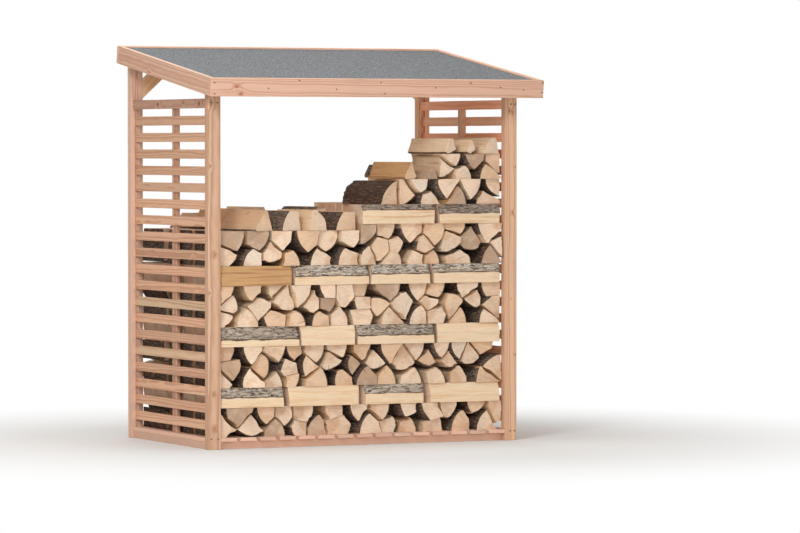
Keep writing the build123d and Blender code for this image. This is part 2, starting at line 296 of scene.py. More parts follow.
# The knots that have a place of their own; elsewhere they are scattered at random
KNOTS = {
    "fascia_front": (
        Knot(-0.804, 0.004, 0.008), Knot(-0.780, -0.033, 0.009), Knot(0.52, 0.03, 0.005),
    ),
    "fascia_left": (Knot(0.180, -0.033, 0.006), Knot(0.196, -0.030, 0.004)),
    "top_rail_left": (
        Knot(0.155, 0.0, 0.010), Knot(-0.193, 0.004, 0.006), Knot(-0.401, 0.0, 0.010),
    ),
    "post_front_left": (
        Knot(0.853, -0.018, 0.008), Knot(0.533, -0.017, 0.005), Knot(0.079, -0.001, 0.005),
        Knot(-0.117, -0.023, 0.004), Knot(-0.635, -0.004, 0.004), Knot(-0.812, 0.0, 0.005),
    ),
    "post_front_right": (
        Knot(0.821, -0.011, 0.005), Knot(0.812, 0.012, 0.005), Knot(0.525, 0.025, 0.004),
        Knot(0.284, 0.011, 0.005), Knot(-0.171, 0.003, 0.003), Knot(-0.466, 0.025, 0.004),
    ),
}


@dataclass(frozen=True)
class Timber:
    """Planed softwood with growth rings, knots and some sapwood."""

    name: str
    pale: Colour
    late: Colour
    sap: Colour
    weathered: Colour = srgb(168, 150, 132)
    reddish: Colour = srgb(202, 142, 108)
    knot: Colour = srgb(150, 94, 64)
    knot_depth: float = 1.0
    ring_width: float = 0.0052
    contrast: float = 0.55
    sap_radius: float = 0.118
    greyness: float = 0.12
    knots: tuple[Knot, ...] = ()

    def make(self) -> Material:
        """Builds the material.

        Returns:
            A material that reads the grain, spot and board attributes.
        """
        graph = Graph(self.name)
        grain = graph.attribute("grain")
        along, across, _ = graph.split(graph.attribute("spot"))
        tone, warmth, _ = graph.split(graph.attribute("board"))
        _, wide, thin = graph.split(grain)
        sway = graph.noise(graph.stretch(grain, 1.6, 7.0, 7.0), 1.0, 2.0) - 0.5
        wide = wide + sway * 0.035
        ring = graph.math("SQRT", wide * wide + thin * thin)
        core, halo, bulge = self._knots(graph, grain, along, across)
        wobble = graph.noise(graph.stretch(grain, 9, 60, 60), 1.0, 2.0) - 0.5
        ring = ring + bulge + wobble * 0.003
        turn = graph.math("FRACT", ring / self.ring_width, 0)
        late = graph.ramp(turn, 0.30, 0.86) * graph.ramp(turn, 0.90, 1.0, 1, 0)
        fibre = graph.noise(graph.stretch(grain, 5, 420, 420), 1.0, 3.0, 0.6)
        blotch = graph.noise(graph.stretch(grain, 2.2, 14, 14), 1.0, 3.0)
        sapwood = graph.ramp(ring, self.sap_radius, self.sap_radius + 0.006)
        base = graph.mix(sapwood * 0.8, self.pale, self.sap)
        colour = graph.mix(late * self.contrast, base, self.late)
        colour = graph.mix(halo * 0.3, colour, self.late)
        colour = graph.mix(core * self.knot_depth, colour, self.knot)
        grey = graph.ramp(blotch, 0.45, 0.75) * self.greyness
        colour = graph.mix(grey, colour, self.weathered)
        colour = graph.mix(graph.ramp(warmth, 0.2, 1.0) * 0.16, colour, self.reddish)
        colour = graph.shade(colour, (fibre - 0.5) * 0.34 + (tone - 0.5) * 0.28 + 1.0)
        height = fibre * 0.5 + late * 0.35 - core * 0.4
        rough = graph.ramp(fibre, 0.2, 0.8, 0.62, 0.78)
        return graph.surface(colour, rough, graph.bump(height, 0.45, 0.0008))

    def _knots(
        self, graph: Graph, grain: Wire, along: Wire, across: Wire
    ) -> tuple[Wire, Wire, Wire]:
        """Knots in the listed places, or scattered at random where none are listed.

        Args:
            graph: the material's graph.
            grain: the place in the trunk.
            along: the place along the board, from its middle.
            across: the place across the board, from its middle.

        Returns:
            The knots' cores, the darker wood round them and how far they
            push the growth rings aside.
        """
        ragged = (graph.noise(grain, 60, 2.0) - 0.5) * 0.006
        if not self.knots:
            flat = graph.stretch(grain, 1.0, 1.35, 0.0)
            apart = graph.cells(flat, 4.6) / 4.6 + ragged
            pick, size, _ = graph.split(graph.cells(flat, 4.6, "Color"))
            chosen = graph.ramp(pick, 0.42, 0.46)
            radius = (size * 0.008 + 0.003) * chosen
            near = graph.ramp(apart, radius * 0.75, radius + 0.0015, 1, 0)
            wider = graph.ramp(apart, radius, radius * 2.6 + 0.002, 1, 0) * chosen
            push = graph.ramp(apart, 0.0, radius * 4 + 0.001, 1, 0) * radius * 1.3
            return near, wider, push
        near = wider = push = 0.0
        for knot in self.knots:
            radius = knot.radius
            dx = (along - knot.along) * 0.72
            dy = across - knot.across
            apart = graph.math("SQRT", dx * dx + dy * dy) + ragged
            core = graph.ramp(apart, radius * 0.7, radius + 0.0015, 1, 0)
            near = graph.math("MAXIMUM", near, core)
            wider = graph.math("MAXIMUM", wider, graph.ramp(apart, radius, radius * 2.6, 1, 0))
            push = push + graph.ramp(apart, 0.0, radius * 5, 1, 0) * (radius * 0.55)
        return near, wider, push


@dataclass(frozen=True)
class MineralFelt:
    """Roofing felt with a coat of grey grit."""

    name: str = "mineral_felt"
    dark: Colour = srgb(76, 78, 80)
    pale: Colour = srgb(128, 130, 131)
    bluish: Colour = srgb(78, 84, 96)

    def make(self) -> Material:
        """Builds the material.

        Returns:
            A material that goes by the place on the object.
        """
        graph = Graph(self.name)
        place = graph.place()
        grain, second, _ = graph.split(graph.cells(place, 220, "Color"))
        clump = graph.noise(graph.stretch(place, 170, 34, 170), 1.0, 2.0, 0.75)
        patch = graph.noise(place, 30, 3.0, 0.75)
        cloud = graph.noise(place, 3.5, 3.0)
        colour = graph.mix(graph.ramp(grain, 0.1, 0.9), self.dark, self.pale)
        colour = graph.mix(graph.ramp(second, 0.82, 0.95), colour, self.bluish)
        speckle = graph.ramp(clump, 0.34, 0.66, -0.24, 0.24)
        speckle = speckle + graph.ramp(patch, 0.36, 0.64, -0.05, 0.05)
        colour = graph.shade(colour, speckle + (cloud - 0.5) * 0.08 + 1.0)
        height = graph.cells(place, 220) + clump * 0.8
        rough = graph.ramp(grain, 0, 1, 0.85, 0.97)
        return graph.surface(colour, rough, graph.bump(height, 0.7, 0.0012))


@dataclass(frozen=True)
class SawnEnd:
    """The sawn end of a split log, with its rings and a rim of bark."""

    name: str = "sawn_log_end"
    fresh: Colour = srgb(238, 215, 190)
    tan: Colour = srgb(227, 193, 160)
    core: Colour = srgb(210, 165, 132)
    old: Colour = srgb(176, 152, 130)
    white: Colour = srgb(242, 230, 214)
    late: Colour = srgb(188, 138, 98)
    stain: Colour = srgb(204, 162, 126)
    crack: Colour = srgb(120, 86, 62)
    rim: Colour = srgb(78, 56, 44)
    ring_width: float = 0.0058

    def make(self) -> Material:
        """Builds the material.

        Returns:
            A material that reads the stem and log attributes.
        """
        graph = Graph(self.name)
        stem = graph.attribute("stem")
        tone, age, girth = graph.split(graph.attribute("log"))
        across, up, _ = graph.split(stem)
        sway = (graph.noise(stem, 26, 3.0) - 0.5) * 0.008
        radius = graph.math("SQRT", across * across + up * up)
        turn = graph.math("FRACT", (radius + sway) / self.ring_width, 0)
        late = graph.ramp(turn, 0.25, 0.85) * graph.ramp(turn, 0.88, 1.0, 1, 0)
        angle = graph.math("ARCTAN2", up, across)
        fan = graph.join(angle * 9.0, tone * 40.0, radius * 4.0)
        ray = graph.noise(fan, 1.0, 3.0, 0.6)
        check = graph.ramp(ray, 0.66, 0.73) * graph.ramp(radius, 0.005, 0.05)
        cloud = graph.noise(stem, 14, 3.0, 0.6)
        broad = graph.noise(stem, 5.5, 1.0)
        heartwood = graph.ramp(radius / girth + (broad - 0.5) * 0.5, 0.30, 0.46, 1, 0)
        colour = graph.mix(graph.ramp(tone, 0.35, 1.0), self.fresh, self.tan)
        colour = graph.mix(heartwood * graph.ramp(age, 0.2, 0.6) * 0.55, colour, self.core)
        weathered = graph.ramp(age, 0.90, 0.94) * graph.ramp(cloud, 0.2, 0.6, 0.45, 1.0)
        colour = graph.mix(weathered, colour, self.old)
        colour = graph.mix(graph.ramp(age, 0.0, 0.09, 0.8, 0), colour, self.white)
        colour = graph.mix(late * 0.5, colour, self.late)
        colour = graph.mix(graph.ramp(cloud, 0.50, 0.70) * 0.45, colour, self.stain)
        colour = graph.mix(check * 0.75, colour, self.crack)
        inner = girth - radius + (graph.noise(stem, 70, 2.0) - 0.5) * 0.004
        colour = graph.mix(graph.ramp(inner, 0.0035, 0.0055, 1, 0), colour, self.rim)
        saw = graph.noise(graph.stretch(stem, 30, 260, 30), 1.0, 2.0)
        light = (ray - 0.5) * 0.36 + (saw - 0.5) * 0.42 + (broad - 0.5) * 0.45
        colour = graph.shade(colour, light + 1.0)
        fuzz = graph.noise(stem, 240, 2.0)
        height = ray * 0.5 + late * 0.4 - check * 1.5 + fuzz * 0.6 + saw * 0.5
        rough = graph.ramp(cloud, 0.3, 0.7, 0.75, 0.9)
        return graph.surface(colour, rough, graph.bump(height, 0.6, 0.0015))


@dataclass(frozen=True)
class SplitFace:
    """The long face along which a log was split."""

    name: str = "split_log_face"
    fresh: Colour = srgb(240, 214, 180)
    tan: Colour = srgb(220, 178, 136)
    old: Colour = srgb(168, 138, 112)
    honey: Colour = srgb(204, 160, 110)
    streak: Colour = srgb(204, 152, 104)
    honey_streak: Colour = srgb(148, 100, 60)
    tear: Colour = srgb(136, 96, 62)
    crack: Colour = srgb(140, 100, 68)
    rim: Colour = srgb(96, 70, 54)

    def make(self) -> Material:
        """Builds the material.

        Returns:
            A material that reads the stem and log attributes.
        """
        graph = Graph(self.name)
        stem = graph.attribute("stem")
        tone, age, girth = graph.split(graph.attribute("log"))
        sway = (graph.noise(graph.stretch(stem, 8, 8, 3), 1.0, 2.0) - 0.5) * 0.03
        across, up, along = graph.split(stem)
        bent = graph.join(across + sway, up + sway, along)
        fibre = graph.noise(graph.stretch(bent, 330, 330, 9), 1.0, 4.0, 0.65)
        band = graph.noise(graph.stretch(bent, 70, 70, 2.5), 1.0, 3.0, 0.55)
        colour = graph.mix(graph.ramp(tone, 0.3, 1.0), self.fresh, self.tan)
        colour = graph.mix(graph.ramp(age, 0.88, 0.94, 0, 0.7), colour, self.old)
        turned = graph.ramp(tone, 0.92, 0.95)
        streak = graph.ramp(band, 0.42, 0.70)
        colour = graph.mix(turned, colour, self.honey)
        colour = graph.mix(streak * 0.5, colour, self.streak)
        colour = graph.mix(streak * turned * 0.75, colour, self.honey_streak)
        colour = graph.mix(graph.ramp(fibre, 0.62, 0.70) * 0.6, colour, self.tear)
        crack = graph.ramp(band, 0.60, 0.68) * graph.ramp(tone, 0.2, 0.7, 0.15, 0.7)
        colour = graph.mix(crack, colour, self.crack)
        colour = graph.shade(colour, (fibre - 0.5) * 0.55 + (band - 0.5) * 0.6 + 1.0)
        inner = girth - graph.math("SQRT", across * across + up * up)
        ragged = (graph.noise(graph.stretch(stem, 40, 40, 14), 1.0, 2.0, 0.5) - 0.5) * 0.004
        edge = graph.ramp(inner + ragged, 0.0008, 0.0018, 1, 0)
        colour = graph.mix(edge, colour, self.rim)
        height = fibre + band * 1.6 + edge
        rough = graph.ramp(fibre, 0.2, 0.8, 0.7, 0.88)
        return graph.surface(colour, rough, graph.bump(height, 0.8, 0.003))


@dataclass(frozen=True)
class Bark:
    """Fissured bark, dark brown to grey, with lichen."""

    name: str = "log_bark"
    dark: Colour = srgb(60, 41, 29)
    brown: Colour = srgb(126, 94, 69)
    deep_brown: Colour = srgb(98, 71, 52)
    grey: Colour = srgb(206, 188, 166)
    lichen: Colour = srgb(216, 211, 203)
    blot: Colour = srgb(92, 76, 64)

    def make(self) -> Material:
        """Builds the material.

        Returns:
            A material that reads the stem and cover attributes.
        """
        graph = Graph(self.name)
        stem = graph.attribute("stem")
        tone, _, greyness = graph.split(graph.attribute("cover"))
        warp = (graph.noise(stem, 40, 2.0) - 0.5) * 0.02
        across, up, along = graph.split(stem)
        bent = graph.join(across + warp, up + warp, along)
        longer = graph.stretch(bent, 66, 66, 13)
        plates = graph.cells(longer, 1.0, feature="DISTANCE_TO_EDGE")
        ridge = graph.noise(graph.stretch(bent, 120, 120, 24), 1.0, 4.0, 0.65)
        fine = graph.noise(stem, 420, 3.0, 0.7)
        plate = graph.ramp(plates, 0.02, 0.22)
        # The fissures between the plates take the dark colour: partly the bark's own colour,
        # partly painted shade.
        colour = graph.mix(plate, self.dark, graph.mix(tone, self.brown, self.deep_brown))
        worn = greyness * graph.ramp(ridge + plate * 0.2, 0.38, 0.60)
        colour = graph.mix(worn, colour, self.grey)
        stains = graph.noise(graph.stretch(stem, 34, 34, 13), 1.0, 3.0, 0.6)
        spots = graph.noise(graph.stretch(stem, 95, 95, 42), 1.0, 3.0, 0.65)
        lichen = graph.ramp(spots, 0.46, 0.60) * graph.ramp(stains, 0.40, 0.55) * greyness
        blots = graph.ramp(spots, 0.36, 0.52, 1, 0) * graph.ramp(stains, 0.40, 0.58) * greyness
        colour = graph.mix(lichen * 0.8, colour, self.lichen)
        colour = graph.mix(blots * 0.6, colour, self.blot)
        # Lighter and darker with the ridges: partly the bark's own mottling, partly painted light
        # and shade on its relief.
        colour = graph.shade(colour, (fine - 0.5) * 0.7 + (ridge - 0.5) * 0.8 + 1.0)
        height = plate * 1.2 + ridge * 1.4 + fine * 0.3
        rough = graph.ramp(fine, 0.2, 0.8, 0.86, 0.97)
        return graph.surface(colour, rough, graph.bump(height, 0.9, 0.005))


@dataclass(frozen=True)
class Steel:
    """Dull zinc-plated steel, mottled with darker patches."""

    name: str
    bright: Colour
    dark: Colour

    def make(self) -> Material:
        """Builds the material.

        Returns:
            A material that goes by the place on the object.
        """
        graph = Graph(self.name)
        patch = graph.noise(graph.place(), 700, 3.0, 0.6)
        colour = graph.mix(graph.ramp(patch, 0.35, 0.7), self.bright, self.dark)
        rough = graph.ramp(patch, 0.3, 0.7, 0.45, 0.7)
        return graph.surface(colour, rough, graph.bump(patch, 0.3, 0.0002), Metallic=0.85)


class Finish(Enum):
    """The finishes of this object."""

    POST = Timber(
        "post_timber", srgb(224, 182, 149), srgb(188, 133, 99), srgb(230, 198, 166), contrast=0.8
    )
    RAIL = Timber("rail_timber", srgb(206, 160, 134), srgb(166, 114, 88), srgb(224, 194, 164))
    SLAT = Timber(
        "slat_timber", srgb(223, 176, 142), srgb(186, 128, 94), srgb(230, 201, 163), contrast=0.7
    )
    # A lighter, more orange copy of the slat timber for the right wall's top rail and slats:
    # painted bounce light, lifting wood that the roof leaves in shade.
    WARM = Timber(
        "painted_bounce_light_timber", srgb(250, 184, 146), srgb(226, 148, 110), srgb(248, 212, 174), contrast=0.6
    )
    FLOOR = Timber("floor_timber", srgb(228, 188, 164), srgb(194, 144, 118), srgb(236, 208, 186))
    ROOF = Timber("roof_timber", srgb(204, 164, 130), srgb(168, 120, 90), srgb(222, 194, 160))
    # Pale partly for the brace's own sapwood and partly as painted light, lifting a brace that
    # sits in shade.
    BRACE = Timber(
        "brace_timber", srgb(232, 194, 152), srgb(204, 150, 110), srgb(238, 212, 166),
        sap_radius=0.060,
    )
    FELT = MineralFelt()
    END = SawnEnd()
    SPLIT = SplitFace()
    BARK = Bark()
    SCREW = Steel("screw_steel", srgb(120, 112, 104), srgb(58, 48, 42))
    NAIL = Steel("nail_steel", srgb(92, 80, 72), srgb(44, 34, 30))

    def material(self) -> Material:
        """The material, made when it is first asked for."""
        made = bpy.data.materials.get(self.value.name)
        return made if made else self.value.make()


# The timber of each kind of node, by how its name starts; the first that fits counts
TIMBERS = {
    "post_back_left": Finish.FLOOR, "post_back_right": Finish.SLAT, "post": Finish.POST,
    # The right wall's top rail and slats take the lighter, warmer timber of painted bounce light.
    "top_rail_left": Finish.RAIL, "top_rail_right": Finish.WARM, "bottom_rail": Finish.FLOOR,
    "slats_left": Finish.SLAT, "slats_right": Finish.WARM, "mid_batten_right": Finish.POST,
    "mid_batten": Finish.RAIL, "bearer": Finish.FLOOR, "floor_boards": Finish.FLOOR,
    "rafters": Finish.ROOF, "roof_boards": Finish.ROOF, "brace": Finish.BRACE,
}


def islands(mesh: BMesh) -> list[list[BMFace]]:
    """The separate solids of a mesh.

    Args:
        mesh: the mesh.

    Returns:
        Each solid as its faces.
    """
    found = []
    seen: set[BMFace] = set()
    for first in mesh.faces:
        if first in seen:
            continue
        seen.add(first)
        solid, queue = [], [first]
        while queue:
            face = queue.pop()
            solid.append(face)
            for edge in face.edges:
                for other in edge.link_faces:
                    if other not in seen:
                        seen.add(other)
                        queue.append(other)
        found.append(solid)
    return found


def long_axis(solid: Iterable[BMFace]) -> Vector:
    """The direction of a solid's longest edge.

    Args:
        solid: the solid's faces.

    Returns:
        The direction, towards the positive side.
    """
    edges = {edge for face in solid for edge in face.edges}
    longest = max(edges, key=lambda edge: edge.calc_length())
    axis = (longest.verts[1].co - longest.verts[0].co).normalized()
    lead = max(axis, key=abs)
    return axis if lead > 0 else -axis


def put_in_scene(name: str, data: ID) -> Object:
    """Puts a new object in the scene.

    Args:
        name: name of the object.
        data: its mesh, lamp or camera.

    Returns:
        The object.
    """
    made = bpy.data.objects.new(name, data)
    bpy.context.scene.collection.objects.link(made)
    return made


def mesh_object(mesh: BMesh, name: str, materials: Iterable[Material]) -> Object:
    """Turns a mesh into an object of the scene.

    Args:
        mesh: the shaped mesh, which is freed.
        name: name of the object.
        materials: its materials in the order of the faces' numbers.

    Returns:
        The object.
    """
    data = bpy.data.meshes.new(name)
    mesh.to_mesh(data)
    mesh.free()
    for material in materials:
        data.materials.append(material)
    return put_in_scene(name, data)


@dataclass
class Piece:
    """A detailed piece that stands for one node of the frame."""

    node: str
    finish: Finish
    slot: str
    seed: int = 1

    def start(self) -> BMesh:
        """Copies the node's mesh.

        Returns:
            A merged copy with its flat faces whole.
        """
        mesh = bmesh.new()
        mesh.from_mesh(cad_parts[self.node].data)
        bmesh.ops.remove_doubles(mesh, verts=mesh.verts, dist=1e-5)
        bmesh.ops.dissolve_limit(
            mesh, angle_limit=radians(0.4), verts=mesh.verts, edges=mesh.edges
        )
        return mesh

    @staticmethod
    def cut_across(mesh: BMesh, axis: Vector, step: float) -> None:
        """Cuts a mesh across in equal steps.

        Args:
            mesh: the mesh.
            axis: the direction to go along.
            step: about how far the cuts are apart.
        """
        reach = [vert.co.dot(axis) for vert in mesh.verts]
        low, high = min(reach), max(reach)
        count = int((high - low) / step)
        for k in range(1, count):
            at = axis * (low + (high - low) * k / count)
            geom = mesh.verts[:] + mesh.edges[:] + mesh.faces[:]
            bmesh.ops.bisect_plane(mesh, geom=geom, dist=1e-6, plane_co=at, plane_no=axis)

    def close(self, mesh: BMesh, kind: str, materials: Iterable[Material]) -> Object:
        """Turns the mesh into the finished piece.

        Args:
            mesh: the shaped mesh, which is freed.
            kind: the last part of the piece's name.
            materials: its materials in the order of the faces' numbers.

        Returns:
            The object, riding on the one body.
        """
        piece = mesh_object(mesh, f"{self.node}_{kind}", materials)
        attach(piece, "root")
        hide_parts(self.node)
        log.info("%s: %d faces", piece.name, len(piece.data.polygons))
        return piece


@dataclass
class Boards(Piece):
    """Planed boards or posts with softened arrises and their own grain.

    A look, where there is one, takes the place of the finish.
    """

    arris: float = 0.0015
    look: Timber | None = None
    tone: Range | None = None
    sharp: float = radians(20)
    trunk_length: float = 40.0
    off_centre: float = 0.03
    heart_depth: Range = (0.045, 0.12)
    grain_tilt: float = 0.022

    def build(self) -> Object:
        """Bevels the boards and lays the grain along each.

        Returns:
            The piece.
        """
        mesh = self.start()
        grain = mesh.verts.layers.float_vector.new("grain")
        spot = mesh.verts.layers.float_vector.new("spot")
        board = mesh.verts.layers.float_vector.new("board")
        number = mesh.faces.layers.int.new("number")
        frames = []
        dice = Random(self.seed)
        for index, solid in enumerate(islands(mesh)):
            for face in solid:
                face[number] = index
            frames.append(self._grain_frame(solid, dice))
        edges = [edge for edge in mesh.edges if edge.calc_face_angle(0) > self.sharp]
        bmesh.ops.bevel(
            mesh, geom=edges, offset=self.arris, offset_type="OFFSET", segments=2,
            profile=0.5, affect="EDGES", material=-1, clamp_overlap=True,
        )
        for vert in mesh.verts:
            turn, centre, shift, tilt, tones = frames[vert.link_faces[0][number]]
            local = turn @ (vert.co - centre)
            vert[spot] = local
            vert[grain] = local + shift + Vector((0, tilt * local.x, 0))
            vert[board] = tones
        for face in mesh.faces:
            face.smooth = False
        material = self.look.make() if self.look else self.finish.material()
        return self.close(mesh, "wood", [material])

    def _grain_frame(self, solid: list[BMFace], dice: Random) -> tuple:
        """The board's own axes, with where in the trunk it was sawn.

        Args:
            solid: the board's faces.
            dice: random numbers for the place in the trunk.

        Returns:
            Turning matrix, middle, shift, tilt and tones.
        """
        axis = long_axis(solid)
        points = {vert for face in solid for vert in face.verts}
        broad = max(
            (face for face in solid if abs(face.normal.dot(axis)) < 0.3),
            key=lambda face: face.calc_area(),
        )
        thin = (broad.normal - axis * broad.normal.dot(axis)).normalized()
        if max(thin, key=abs) < 0:
            thin = -thin
        wide = thin.cross(axis)
        if max(wide, key=abs) < 0:
            wide = -wide
        turn = Matrix((axis, wide, thin))
        reach = [turn @ vert.co for vert in points]
        low = Vector([min(point[k] for point in reach) for k in range(3)])
        high = Vector([max(point[k] for point in reach) for k in range(3)])
        centre = turn.inverted() @ ((low + high) / 2)
        shift = Vector((
            dice.uniform(0, self.trunk_length),
            dice.uniform(-self.off_centre, self.off_centre),
            dice.uniform(*self.heart_depth) * dice.choice((-1, 1)),
        ))
        tilt = dice.uniform(-self.grain_tilt, self.grain_tilt)
        tones = Vector((dice.random(), dice.random(), dice.random()))
        if self.tone is not None:
            tones.xy = self.tone
        return turn, centre, shift, tilt, tones


class Side(IntEnum):
    """The sides of a split log, in the order of their materials."""

    END = 0
    SPLIT = 1
    BARK = 2


@dataclass(frozen=True)
class Stem:
    """The stem that a log was split from, in the log's own directions."""

    axis: Vector
    side: Vector
    up: Vector
    heart: Vector
    radius: float
    middle: Vector
    shift: float
    tones: Vector
    cover: Vector
    gap: float
    lean: Range

    def flat(self, point: Vector) -> Vector:
        """Where a point lies in the log's section."""
        return Vector((point.dot(self.side), point.dot(self.up)))

    def has_bark(self, face: BMFace) -> bool:
        """Whether a face of the log lies on the round side of the stem.

        Args:
            face: the face.

        Returns:
            True where its corners and its middle all lie on the stem's round.
        """
        points = [self.flat(vert.co) for vert in face.verts]
        points.append(self.flat(face.calc_center_median()))
        return max(abs((point - self.heart).length - self.radius) for point in points) < 0.0014


@dataclass
class SplitLogs(Piece):
    """The split logs of one node, their faces roughened and worn apart.

    Side faces further out than bark_beyond have bark. A face whose normal is
    upright to within level lies on the layer below or carries the one above.
    """

    slice_length: float = 0.055
    edge_length: float = 0.018
    most_cuts: int = 12
    gap: float = 0.0016
    split_rough: float = 0.0030
    swell: float = 0.010
    bark_rough: float = 0.0042
    greyness: Range = (0.0, 0.25)
    bark_beyond: float = 0.8
    bare_share: float = 0.2
    bare_logs: tuple[int, ...] = ()
    honey_logs: tuple[int, ...] = ()
    tone_range: Range = (0.0, 1.0)
    age_range: Range = (0.0, 1.0)
    end_recess: float = 0.007
    end_lean: float = 0.1
    level: float = 0.96

    def build(self) -> Object:
        """Cuts the logs finer, sorts bark from split faces and roughens them.

        Returns:
            The piece, with sawn end, split face and bark as its materials.
        """
        mesh = self.start()
        number = mesh.faces.layers.int.new("number")
        stems = []
        dice = Random(self.seed)
        for index, solid in enumerate(islands(mesh)):
            for face in solid:
                face[number] = index
            stems.append(self._stem(index, solid, dice))
        self._cut_finer(mesh, stems[0].axis)
        self._wear(mesh, number, stems)
        finishes = (self.finish, Finish.SPLIT, Finish.BARK)
        return self.close(mesh, "wood", [finish.material() for finish in finishes])

    def _stem(self, index: int, solid: list[BMFace], dice: Random) -> Stem:
        """Finds the stem that a log was split from, and sorts the log's faces.

        Args:
            index: the log's number in its node.
            solid: the log's faces.
            dice: random numbers for the log's tones.

        Returns:
            The stem.
        """
        axis = long_axis(solid)
        side = Vector((0, 0, 1)).cross(axis).normalized()
        up = axis.cross(side)
        rim = max(solid, key=lambda face: face.normal.dot(axis))
        loop = [Vector((vert.co.dot(side), vert.co.dot(up))) for vert in rim.verts]
        heart, radius = self._heart(loop)
        grey = dice.uniform(*self.greyness)
        stem = Stem(
            axis, side, up, heart, radius,
            middle=sum(loop, Vector((0, 0))) / len(loop),
            shift=dice.uniform(0, 30),
            tones=Vector((dice.uniform(*self.tone_range), dice.uniform(*self.age_range), radius)),
            cover=Vector((dice.random(), dice.random(), grey)),
            gap=self.gap * dice.uniform(0.4, 2.2),
            lean=(
                dice.uniform(-self.end_lean, self.end_lean),
                dice.uniform(-self.end_lean, self.end_lean),
            ),
        )
        if index in self.honey_logs:
            stem.tones.x = 1.0
        bare = stem.cover.y < self.bare_share or index in self.bare_logs
        if bare:
            stem.tones.z += 0.05
        for face in solid:
            outside = abs(face.calc_center_median().x) > self.bark_beyond
            if abs(face.normal.dot(axis)) > 0.8:
                face.material_index = Side.END
            elif (outside and abs(face.normal.x) > 0.95) or (not bare and stem.has_bark(face)):
                face.material_index = Side.BARK
            else:
                face.material_index = Side.SPLIT
        return stem

    @staticmethod
    def _heart(loop: list[Vector]) -> tuple[Vector, float]:
        """The corner that the round side of a log is drawn about.

        Args:
            loop: the points round the log's section.

        Returns:
            The corner and the radius, the radius huge where no side is round.
        """
        most, heart, radius = 2, loop[0], 9.0
        for corner in loop:
            reach = [(point - corner).length for point in loop]
            farthest = max(reach)
            alike = sum(farthest - length < 0.0003 for length in reach)
            if alike > most:
                most, heart, radius = alike, corner, farthest
        return heart, radius

    def _cut_finer(self, mesh: BMesh, axis: Vector) -> None:
        """Cuts the logs across and their section's edges into short parts.

        Args:
            mesh: the logs.
            axis: direction of most of them.
        """
        groups: dict[int, list[BMEdge]] = {}
        for edge in mesh.edges:
            along = (edge.verts[1].co - edge.verts[0].co).normalized()
            if abs(along.dot(axis)) < 0.5:
                cuts = int(edge.calc_length() / self.edge_length)
                if cuts:
                    groups.setdefault(min(cuts, self.most_cuts), []).append(edge)
        for cuts, edges in groups.items():
            bmesh.ops.subdivide_edges(mesh, edges=edges, cuts=cuts)
        self.cut_across(mesh, axis, self.slice_length)

    def _wear(self, mesh: BMesh, number: Any, stems: list[Stem]) -> None:
        """Wears the surface inwards and keeps the stem's coordinates on the mesh.

        Args:
            mesh: the cut mesh.
            number: layer with the log's number.
            stems: the stem of each log.
        """
        mesh.normal_update()
        place = mesh.verts.layers.float_vector.new("stem")
        tones = mesh.verts.layers.float_vector.new("log")
        cover = mesh.verts.layers.float_vector.new("cover")
        moves = []
        for vert in mesh.verts:
            stem = stems[vert.link_faces[0][number]]
            moves.append((vert, self._move(vert, stem)))
            vert[tones] = stem.tones
            vert[cover] = stem.cover
            off = stem.flat(vert.co) - stem.heart
            vert[place] = Vector((off.x, off.y, vert.co.dot(stem.axis) + stem.shift))
        for vert, move in moves:
            vert.co += move
        for face in mesh.faces:
            face.smooth = face.material_index == Side.BARK

    def _move(self, vert: BMVert, stem: Stem) -> Vector:
        """How far a point of a log's surface is worn inwards.

        Args:
            vert: the point.
            stem: the log's stem.

        Returns:
            The move.
        """
        kinds = {face.material_index for face in vert.link_faces}
        outward = vert.normal - stem.axis * vert.normal.dot(stem.axis)
        outward = outward.normalized() if outward.length > 1e-4 else Vector((0, 0, 0))
        along = vert.co.dot(stem.axis)
        flat = stem.flat(vert.co)
        if Side.BARK in kinds and Side.SPLIT not in kinds:
            knobs = noise.noise(Vector((flat.x * 70, flat.y * 70, along * 28 + stem.shift)))
            depth = self.bark_rough * (0.5 + 0.6 * knobs)
        else:
            wave = noise.noise(Vector((flat.x * 42, flat.y * 42, along * 5 + stem.shift)))
            swell = noise.noise(Vector((flat.x * 17, flat.y * 17, along * 3 - stem.shift)))
            depth = self.split_rough * (0.5 + 0.7 * wave) + self.swell * max(0.0, swell + 0.1)
        if {Side.SPLIT, Side.BARK} <= kinds:
            depth += 0.0008
        move = -outward * (stem.gap + max(0.0, depth)) * min(1.6, vert.calc_shell_factor())
        rests = min(face.normal.z for face in vert.link_faces) < -self.level
        carries = max(face.normal.z for face in vert.link_faces) > self.level
        move.z *= 0.0 if rests else 0.15 if carries else 1.0
        if Side.END in kinds:
            off = flat - stem.middle
            lean = off.x * stem.lean[0] + off.y * stem.lean[1]
            end = next(face for face in vert.link_faces if face.material_index == Side.END)
            facing = 1 if end.normal.dot(stem.axis) > 0 else -1
            move -= stem.axis * (facing * (self.end_recess + lean))
        return move


@dataclass
class FeltSheet(Piece):
    """The felt on the roof boards, very slightly uneven."""

    step: float = 0.06
    dip: float = 0.0007

    def build(self) -> Object:
        """Cuts the sheet into a grid and lets it dip a little.

        Returns:
            The piece.
        """
        mesh = self.start()
        self.cut_across(mesh, Vector((1, 0, 0)), self.step)
        self.cut_across(mesh, Vector((0, 1, 0)), self.step)
        mesh.normal_update()
        for vert in mesh.verts:
            if vert.normal.z > 0.9:
                wave = noise.noise(Vector((vert.co.x * 4, vert.co.y * 4, self.seed)))
                vert.co.z -= self.dip * (1 + wave)
        for face in mesh.faces:
            face.smooth = face.normal.z > 0.5
        return self.close(mesh, "sheet", [self.finish.material()])


